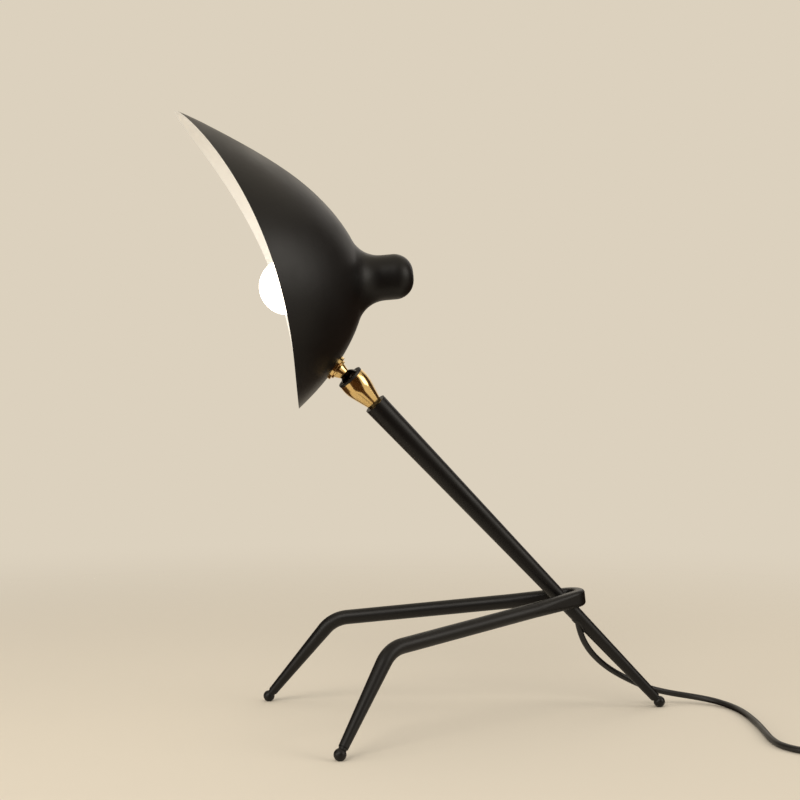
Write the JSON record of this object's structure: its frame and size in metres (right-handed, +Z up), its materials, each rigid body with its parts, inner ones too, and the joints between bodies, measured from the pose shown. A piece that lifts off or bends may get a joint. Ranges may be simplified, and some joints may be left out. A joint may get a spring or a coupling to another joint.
{
  "type": "adjustable desk lamp",
  "caption": "Desk lamp with a pointed black shade on a brass ball swivel, a leaning tapered stem, bent hairpin legs on ball feet, and a mains cord with hand switch and plug.",
  "frame": {"origin": "on the floor, under the middle of the lamp's box without its cord", "axes": "+Z up, -X towards the shade and front feet, +Y away from the picture's camera"},
  "size_m": [0.6771, 0.3538, 0.4903],
  "materials": {
    "satin_black_paint": "satin",
    "polished_brass": "polished",
    "zinc_steel": "satin",
    "seat_nylon": "matte",
    "phenolic": "satin",
    "contact_brass": "satin",
    "lit_glass": "satin",
    "cap_metal": "satin",
    "black_glass": "gloss",
    "core_insulation": "satin",
    "black_pvc": "matte",
    "black_rubber": "matte",
    "tie_strip": "satin",
    "black_plastic": "satin",
    "rocker_plastic": "satin",
    "nickel_pins": "polished"
  },
  "bodies": {
    "base": {"stem_tube": "satin_black_paint", "stem_insert": "satin_black_paint", "leg_hairpin": "satin_black_paint", "foot_rear": "satin_black_paint", "foot_front_near": "satin_black_paint", "foot_front_far": "satin_black_paint", "cord_grommet": "black_rubber", "stem_cord": "black_pvc", "cord_lead": "black_pvc", "cord_link": "black_pvc", "cord_coil": "black_pvc", "coil_tie": "tie_strip", "plug_relief": "black_pvc", "plug_body": "black_plastic", "plug_pins": "nickel_pins", "switch_base": "black_plastic", "switch_cover": "black_plastic", "switch_screws": "zinc_steel", "switch_terminals": "contact_brass", "switch_reliefs": "black_pvc"},
    "cup": {"swivel_cup": "polished_brass", "cup_collar": "black_plastic", "ball_seat": "seat_nylon", "seat_spring": "zinc_steel"},
    "ball": {"ball_stud": "polished_brass", "stud_nut": "zinc_steel"},
    "head": {"shade": "satin_black_paint", "saddle_washer": "polished_brass", "inner_washer": "zinc_steel", "head_cord": "black_pvc", "lamp_wires": "core_insulation", "holder_plate": "zinc_steel", "holder_nut": "zinc_steel", "lampholder_cap": "phenolic", "lampholder_body": "phenolic", "lampholder_sleeve": "contact_brass", "lampholder_contact": "contact_brass", "bulb_globe": "lit_glass", "bulb_cap": "cap_metal", "bulb_insulator": "black_glass", "bulb_contact": "cap_metal"},
    "rocker": {"switch_rocker": "rocker_plastic"}
  },
  "joints": [
    {"name": "head_swing", "type": "hinge", "parent": "base", "child": "cup", "pos_m": [-0.06864, 0, 0.27735], "axis": [-0.7022, 0, 0.712], "range_deg": [-90, 90]},
    {"name": "head_tilt", "type": "hinge", "parent": "cup", "child": "ball", "pos_m": [-0.06864, 0, 0.27735], "axis": [-0.5996, -0.5392, -0.5913], "range_deg": [-43, 12]},
    {"name": "head_spin", "type": "hinge", "parent": "ball", "child": "head", "pos_m": [-0.06864, 0, 0.27735], "axis": [-0.7802, 0.2295, 0.5819], "range_deg": [-80, 80]},
    {"name": "switch_rock", "type": "hinge", "parent": "base", "child": "rocker", "pos_m": [0.32043, -0.216, 0.0134], "axis": [0, 1, 0], "range_deg": [-14, 0]}
  ]
}
